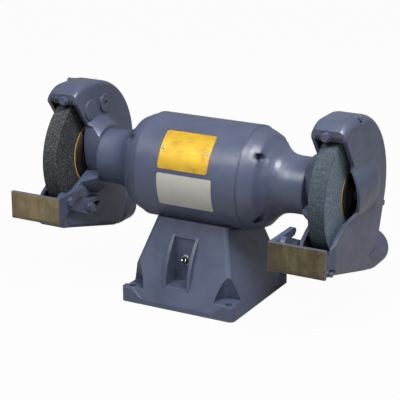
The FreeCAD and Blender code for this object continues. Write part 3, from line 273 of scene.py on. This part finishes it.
def makeStone(look, name):
    f = Finish(name)
    own = look[name]
    x, across, up, out = f.around(arborLine)
    grit = f.noise(*own["grit"])
    tones = zip(own["stops"], (own["pore"], own["bond"], own["bond"], own["grain"]))
    colour = f.node("ShaderNodeValToRGB", {"stops": list(tones)}, {"Fac": grit})
    rim = f.between(out, *look["rimEdge"])
    alongScale, outScale, roundScale = look["streakScale"]
    polar = f.vector(across.math("ARCTAN2", up) * roundScale, out * outScale, x * alongScale)
    streaks = f.noise(*look["streaks"], polar)
    streaks = f.between(streaks, *midSpan, 1 - own["streak"], 1 + own["streak"])
    gain = streaks * (own["side"] - rim * (own["side"] - 1))  # 1 at the rim
    grey = f.node("ShaderNodeCombineColor", {}, {0: gain, 1: gain, 2: gain})
    colour = f.mix(1.0, colour, grey, "MULTIPLY")
    glaze = f.between(f.noise(*look["glaze"]), *look["glazeSpan"])
    rough = look["rough"] - glaze * look["glazeShine"]
    pits = f.between(f.cells(own["pits"]), *look["pitSize"])
    skin = f.bump(grit + pits * look["pitDepth"], *own["bump"])
    return f.set(Base_Color=colour, Roughness=rough, Normal=skin,
                 Specular_IOR_Level=look["specular"])


blotter = {
    "paper": (0.062, 0.052, 0.036), "paperDark": 0.7, "mottle": (240, 3, 0.55),
    "ring": (0.62, 0.36, 0.075), "faded": (0.40, 0.24, 0.06), "fadeSpan": (0.35, 0.65),
    "innerEdge": 0.051, "outerEdge": 0.0395,  # radii of the motor-side and the outer blotters
    "split": wheelMiddle,  # the x that parts them
    "wideRing": 0.0020, "thinRing": (0.0070, 0.0086),
    "fibre": (700, 4, 0.7), "bump": (0.3, 0.0002), "rough": 0.9}


def makeBlotter(look):
    f = Finish("blotterPaper")
    x, *_, out = f.around(arborLine)
    outside = x.math("ABSOLUTE") > look["split"]
    inset = look["innerEdge"] - outside * (look["innerEdge"] - look["outerEdge"]) - out
    thinFrom, thinTo = look["thinRing"]
    rings = (inset < look["wideRing"]) + (inset > thinFrom) * (inset < thinTo)
    fibre = f.noise(*look["fibre"])
    ring = f.mix(f.between(fibre, *look["fadeSpan"]), look["faded"], look["ring"])
    mottle = f.between(f.noise(*look["mottle"]), *midSpan)
    body = f.mix(mottle, scaled(look["paper"], look["paperDark"]), look["paper"])
    colour = f.mix(rings.math("MINIMUM", 1.0), body, ring)
    return f.set(Base_Color=colour, Roughness=look["rough"], Normal=f.bump(fibre, *look["bump"]))


dress(makeStone(stone, "coarseGrit"), "left_wheel")
dress(makeStone(stone, "fineGrit"), "right_wheel")
dress(makeBlotter(blotter), *bothSides("blotters"))
print("wheels dressed")

# machined tool rests, painted behind their front face

restFace = {
    # The right face's colours are a darker copy of the left's: painted shade on the right rest.
    "left": {"light": (0.245, 0.190, 0.105), "dark": (0.150, 0.118, 0.062)},
    "right": {"light": (0.130, 0.105, 0.054), "dark": (0.068, 0.056, 0.028)},
    "faceDepth": (0.0004, 0.0009), "clouds": (44, 5, 0.7),
    "bands": (1, 2, 0.6), "bandScale": (75, 4, 9),
    "cloudShare": 0.6, "bandShare": 0.4, "toneSpan": (0.40, 0.60),
    "mottle": (190, 5, 0.75), "mottleSpan": (0.42, 0.68), "mottleShare": 0.45,
    "scratches": (1, 2, 0.6), "scratchScale": (1500, 30, 40), "scratchSpan": (0.55, 0.78),
    "scratchShare": 0.16, "scratchBump": (0.22, 0.0002),
    "stain": (0.022, 0.020, 0.014), "spots": (210, 3, 0.7), "spotSpan": (0.60, 0.66),
    "spotGroups": (26, 2, 0.55), "spotGroupSpan": (0.42, 0.56), "spotShare": 0.9,
    "bottomDarkening": (0.002, 0.007), "footSpan": (0.30, 0.55), "footShare": 0.6,
    "bright": (0.34, 0.30, 0.22), "edge": 0.0012, "edgeShare": 0.6, "paintEdgeShare": 0.5,
    "rough": 0.55, "lessRough": 0.08, "moreRough": 0.1, "metal": 0.3, "corner": 0.0006,
    "sand": (170, 3, 0.6), "sandBump": (0.10, 0.0005)}


def makeRest(look, side):
    f = Finish(side + "RestFace")
    _, y, z = f.axes()
    _, lowY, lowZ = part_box(side + "_tool_rest")[0]
    faceFrom, faceTo = look["faceDepth"]
    front = f.between(y, lowY + faceFrom, lowY + faceTo, 1, 0)
    # Each side takes its own pair of colours; the right side's darker pair is painted shade.
    light, dark = look[side]["light"], look[side]["dark"]
    clouds = f.noise(*look["clouds"])
    bands = f.noise(*look["bands"], f.at(look["bandScale"]))
    scratches = f.noise(*look["scratches"], f.at(look["scratchScale"]))
    tone = clouds * look["cloudShare"] + bands * look["bandShare"]
    colour = f.mix(f.between(tone, *look["toneSpan"]), dark, light)
    mottle = f.between(f.noise(*look["mottle"]), *look["mottleSpan"])
    colour = f.mix(mottle * look["mottleShare"], colour, dark)
    scored = f.between(scratches, *look["scratchSpan"]) * look["scratchShare"]
    colour = f.mix(scored, colour, look["bright"])
    spots = f.between(f.noise(*look["spots"]), *look["spotSpan"])
    spots = spots * f.between(f.noise(*look["spotGroups"]), *look["spotGroupSpan"])
    colour = f.mix(spots * look["spotShare"], colour, look["stain"])
    # The face is darker towards its bottom edge, in patches.
    footFrom, footTo = look["bottomDarkening"]
    foot = f.between(z, lowZ + footFrom, lowZ + footTo, 1, 0) * f.between(clouds, *look["footSpan"])
    colour = f.mix(foot * look["footShare"], colour, look["stain"])
    bare = f.edgeMask(look["edge"])
    colour = f.mix(bare * look["edgeShare"], colour, look["bright"])
    coat = f.mix(f.between(f.noise(*enamel["clouds"]), *midSpan), enamel["shade"], enamel["paint"])
    coat = f.mix(bare * look["paintEdgeShare"], coat, enamel["rubbed"])
    colour = f.mix(front, coat, colour)
    wander = f.between(clouds, *midSpan, -look["lessRough"], look["moreRough"])
    rough = front * (wander + look["rough"] - enamel["rough"]) + enamel["rough"]
    skin = f.bump(scratches, *look["scratchBump"], f.roundEdges(look["corner"]))
    skin = f.bump(f.noise(*look["sand"]), *look["sandBump"], skin)
    return f.set(Base_Color=colour, Roughness=rough, Metallic=front * look["metal"], Normal=skin)


for side in ("left", "right"):
    dress(makeRest(restFace, side), side + "_tool_rest")
print("tool rests finished")

# steels, plates and plastics

steels = {
    "turnedSteel": {"colour": (0.50, 0.50, 0.50), "rough": 0.28, "lines": (2200, 60, 60)},
    "zincPlate": {"colour": (0.48, 0.49, 0.50), "rough": 0.36, "lines": (300, 300, 300)},
    "blackenedSteel": {"colour": (0.055, 0.056, 0.060), "rough": 0.42, "lines": (1400, 60, 60)},
    "laminatedIron": {"colour": (0.16, 0.16, 0.17), "rough": 0.5, "lines": (1800, 2, 2)},
    "drawnCan": {"colour": (0.62, 0.63, 0.64), "rough": 0.3, "lines": (20, 900, 900)},
    "lineNoise": (1, 2, 0.6), "lineBump": (0.16, 0.0001), "corner": 0.0004,
    "clouds": (70, 4, 0.6), "cloudDark": 0.72, "lessRough": 0.06, "moreRough": 0.1,
    "dirt": (0.05, 0.045, 0.04), "dirtNoise": (140, 4, 0.7), "dirtSpan": (0.55, 0.72),
    "dirtShare": 0.45, "dirtRough": 0.15,
    "edge": 0.0006, "edgeGain": 2.0, "edgeMost": 0.8, "edgeShare": 0.4}


def makeSteel(look, name):
    f = Finish(name)
    own = look[name]
    lines = f.noise(*look["lineNoise"], f.at(own["lines"]))
    clouds = f.between(f.noise(*look["clouds"]), *midSpan)
    dirt = f.between(f.noise(*look["dirtNoise"]), *look["dirtSpan"])
    bright = [min(channel, look["edgeMost"]) for channel in scaled(own["colour"], look["edgeGain"])]
    colour = f.mix(clouds, scaled(own["colour"], look["cloudDark"]), own["colour"])
    colour = f.mix(dirt * look["dirtShare"], colour, look["dirt"])
    colour = f.mix(f.edgeMask(look["edge"]) * look["edgeShare"], colour, bright)
    rough = f.roughness(lines, midSpan, own["rough"], look["lessRough"], look["moreRough"])
    rough = rough + dirt * look["dirtRough"]
    skin = f.bump(lines, *look["lineBump"], f.roundEdges(look["corner"]))
    return f.set(Base_Color=colour, Metallic=1.0, Roughness=rough, Normal=skin)


dress(makeSteel(steels, "turnedSteel"), "arbor_shaft", *bothSides("bearing"), "preload_washer",
      "nameplate_rivets")
dress(makeSteel(steels, "zincPlate"), "bottom_cover", "bottom_cover_screws", "switch_nut",
      "saddle_bolts", "capacitor_strap")
dress(makeSteel(steels, "blackenedSteel"), *bothSides("arbor_nut", "guard_mount_screws"))
dress(makeSteel(steels, "laminatedIron"), "stator_core", "rotor_core")
dress(makeSteel(steels, "drawnCan"), "capacitor", "rotor_end_rings")

flange = {
    "dark": (0.030, 0.029, 0.027), "worn": (0.26, 0.24, 0.20), "metal": 0.9, "rough": (0.38, 0.55),
    "ringNoise": (1, 2, 0.6), "ringScale": 900, "ringSpan": (0.50, 0.66),
    "ringBump": (0.35, 0.0003),
    "patches": (60, 3, 0.6), "patchSpan": (0.3, 0.6), "patchShare": (0.4, 1.0),
    "wornShare": 0.7, "edge": 0.0012, "edgeShare": 0.3, "corner": 0.0006}


def makeFlange(look):
    f = Finish("turnedFlange")
    x, *_, out = f.around(arborLine)
    turned = f.vector(out * look["ringScale"], x * look["ringScale"], 0.0)
    rings = f.noise(*look["ringNoise"], turned)
    patches = f.between(f.noise(*look["patches"]), *look["patchSpan"], *look["patchShare"])
    bare = f.between(rings, *look["ringSpan"]) * patches * look["wornShare"]
    colour = f.mix(bare + f.edgeMask(look["edge"]) * look["edgeShare"], look["dark"], look["worn"])
    rough = f.between(rings, *midSpan, *look["rough"])
    skin = f.bump(rings, *look["ringBump"], f.roundEdges(look["corner"]))
    return f.set(Base_Color=colour, Metallic=look["metal"], Roughness=rough, Normal=skin)


dress(makeFlange(flange), *bothSides("inner_flange", "outer_flange"))

brass = {
    "colour": (0.62, 0.385, 0.028), "tarnish": (0.38, 0.23, 0.022), "clouds": (46, 4, 0.6),
    "cloudSpan": (0.42, 0.8), "brushNoise": (1, 3, 0.65), "brushScale": (22, 700, 700),
    "brushSpan": (0.55, 0.8), "brushShare": 0.3, "brushDark": 0.7, "brushBump": (0.12, 0.0001),
    "edge": (0.0016, 0.01, 0.1), "edgeShare": 0.6,
    "rough": 0.40, "lessRough": 0.06, "moreRough": 0.12, "metal": 0.45}


def makeBrass(look):
    f = Finish("bareBrass")
    brushed = f.noise(*look["brushNoise"], f.at(look["brushScale"]))
    clouds = f.between(f.noise(*look["clouds"]), *look["cloudSpan"])
    colour = f.mix(clouds, look["colour"], look["tarnish"])
    dark = f.between(brushed, *look["brushSpan"]) * look["brushShare"]
    colour = f.mix(dark, colour, scaled(look["colour"], look["brushDark"]))
    colour = f.mix(f.edgeMask(*look["edge"]) * look["edgeShare"], colour, look["tarnish"])
    rough = f.roughness(brushed, midSpan, look["rough"], look["lessRough"], look["moreRough"])
    skin = f.bump(brushed, *look["brushBump"])
    return f.set(Base_Color=colour, Metallic=look["metal"], Roughness=rough, Normal=skin)


label = {
    "colour": (0.40, 0.395, 0.36), "aged": (0.31, 0.295, 0.255), "clouds": (40, 4, 0.6),
    "cloudSpan": (0.45, 0.8), "cloudShare": 0.5, "edge": (0.002, 0.01, 0.1), "edgeShare": 0.5,
    "fibre": (900, 3, 0.6), "bump": (0.12, 0.0001),
    "rough": 0.62, "lessRough": 0.05, "moreRough": 0.08}


def makeLabel(look):
    f = Finish("blankLabel")
    fibre = f.noise(*look["fibre"])
    clouds = f.between(f.noise(*look["clouds"]), *look["cloudSpan"])
    colour = f.mix(clouds * look["cloudShare"], look["colour"], look["aged"])
    colour = f.mix(f.edgeMask(*look["edge"]) * look["edgeShare"], colour, look["aged"])
    rough = f.roughness(fibre, midSpan, look["rough"], look["lessRough"], look["moreRough"])
    return f.set(Base_Color=colour, Roughness=rough, Normal=f.bump(fibre, *look["bump"]))


moulding = {
    "colour": (0.014, 0.014, 0.015), "scuffed": (0.055, 0.055, 0.058), "scuffs": (1, 4, 0.7),
    "scuffScale": (90, 260, 260), "scuffSpan": (0.55, 0.8), "scuffShare": 0.35,
    "rough": 0.42, "scuffRough": 0.2, "grain": 1500, "bump": (0.18, 0.0001), "corner": 0.0005}


def makePlastic(look):
    f = Finish("blackMoulding")
    scuffs = f.between(f.noise(*look["scuffs"], f.at(look["scuffScale"])), *look["scuffSpan"])
    colour = f.mix(scuffs * look["scuffShare"], look["colour"], look["scuffed"])
    rough = scuffs * look["scuffRough"] + look["rough"]
    skin = f.bump(f.cells(look["grain"]), *look["bump"], f.roundEdges(look["corner"]))
    return f.set(Base_Color=colour, Roughness=rough, Normal=skin)


chrome = {
    "colour": (0.78, 0.78, 0.78), "handled": (0.45, 0.42, 0.38), "prints": (160, 5, 0.7),
    "printSpan": (0.55, 0.75), "printShare": 0.3, "rough": (0.08, 0.24)}


def makeChrome(look):
    f = Finish("chromeLever")
    prints = f.noise(*look["prints"])
    handled = f.between(prints, *look["printSpan"]) * look["printShare"]
    colour = f.mix(handled, look["colour"], look["handled"])
    rough = f.between(prints, *midSpan, *look["rough"])
    return f.set(Base_Color=colour, Metallic=1.0, Roughness=rough)


winding = {
    "varnish": (0.20, 0.055, 0.018), "copper": (0.46, 0.16, 0.05), "strandNoise": (1, 1, 0.5),
    "strandScale": (900, 60, 60), "strandSpan": (0.35, 0.65), "strandBump": (0.5, 0.0006),
    "rough": (0.3, 0.5), "metal": 0.5}


def makeWinding(look):
    f = Finish("varnishedWire")
    strands = f.noise(*look["strandNoise"], f.at(look["strandScale"]))
    colour = f.mix(f.between(strands, *look["strandSpan"]), look["varnish"], look["copper"])
    rough = f.between(strands, *midSpan, *look["rough"])
    return f.set(Base_Color=colour, Metallic=look["metal"], Roughness=rough,
                 Normal=f.bump(strands, *look["strandBump"]))


dress(makeBrass(brass), "nameplate")
dress(makeLabel(label), "front_label")
dress(makePlastic(moulding), "switch_body", "cord_gland", "cord_gland_nut", "start_switch",
      "start_actuator")
dress(makeChrome(chrome), "toggle_lever")
dress(makeWinding(winding), "stator_windings")
print("steels, plates and plastics finished")

# floor, sky and lamps

studio = {
    "sky": 0.27, "floorSize": 14, "floorDrop": 0.0005, "floorGrey": 0.30, "floorRough": 0.85,
    "floorGlow": 0.965, "lampAim": (0, 0, 0.15),
    "lamps": [
        ("keyLamp", (-0.45, -1.9, 2.4), (1.3, 1.3), 56),
        ("topLamp", (0.80, -0.45, 1.9), (0.9, 0.6), 44),
        ("rightLamp", (2.0, -0.8, 1.3), (0.4, 1.2), 3)]}


def hangSky(setup):  # dim to the surfaces, white where it is seen
    world = bpy.data.worlds.new("plainSky")
    world.use_nodes = True
    bpy.context.scene.world = world
    tree = world.node_tree
    lit, seen = tree.nodes["Background"], tree.nodes.new("ShaderNodeBackground")
    for background, strength in ((lit, setup["sky"]), (seen, 1.0)):
        background.inputs["Color"].default_value = (1, 1, 1, 1)
        background.inputs["Strength"].default_value = strength
    path, blend = tree.nodes.new("ShaderNodeLightPath"), tree.nodes.new("ShaderNodeMixShader")
    most = tree.nodes.new("ShaderNodeMath")
    most.operation = "MAXIMUM"
    tree.links.new(path.outputs["Is Camera Ray"], most.inputs[0])
    tree.links.new(path.outputs["Is Transmission Ray"], most.inputs[1])
    tree.links.new(most.outputs[0], blend.inputs[0])
    tree.links.new(lit.outputs[0], blend.inputs[1])
    tree.links.new(seen.outputs[0], blend.inputs[2])
    tree.links.new(blend.outputs[0], tree.nodes["World Output"].inputs["Surface"])


def layFloor(setup):
    mesh = bpy.data.meshes.new("studioFloor")
    bm = bmesh.new()
    bmesh.ops.create_grid(bm, x_segments=1, y_segments=1, size=setup["floorSize"] / 2)
    bmesh.ops.translate(bm, vec=(0, 0, -setup["floorDrop"]), verts=bm.verts)
    bm.to_mesh(mesh)
    bm.free()
    floor = bpy.data.objects.new("studioFloor", mesh)
    bpy.context.scene.collection.objects.link(floor)
    f = Finish("paleFloor")
    f.set(Base_Color=[setup["floorGrey"]] * 3, Roughness=setup["floorRough"])
    glow = f.node("ShaderNodeEmission", {}, {"Color": (1, 1, 1), "Strength": 1.0})
    share = f.node("ShaderNodeLightPath", out="Is Camera Ray") * setup["floorGlow"]
    blend = f.node("ShaderNodeMixShader", {}, {0: share, 1: Wire(f, f.shader.outputs[0]), 2: glow})
    f.plug(f.tree.nodes["Material Output"].inputs["Surface"], blend)
    mesh.materials.append(f.material)


def hangLamps(setup):
    for name, spot, size, power in setup["lamps"]:
        data = bpy.data.lights.new(name, "AREA")
        data.shape = "RECTANGLE"
        data.size, data.size_y = size
        data.energy = power
        lamp = bpy.data.objects.new(name, data)
        lamp.location = spot
        gaze = Vector(setup["lampAim"]) - Vector(spot)
        lamp.rotation_euler = gaze.to_track_quat("-Z", "Y").to_euler()
        bpy.context.scene.collection.objects.link(lamp)


hangSky(studio)
layFloor(studio)
hangLamps(studio)
bpy.context.scene.view_settings.view_transform = "Standard"
print("studio ready")
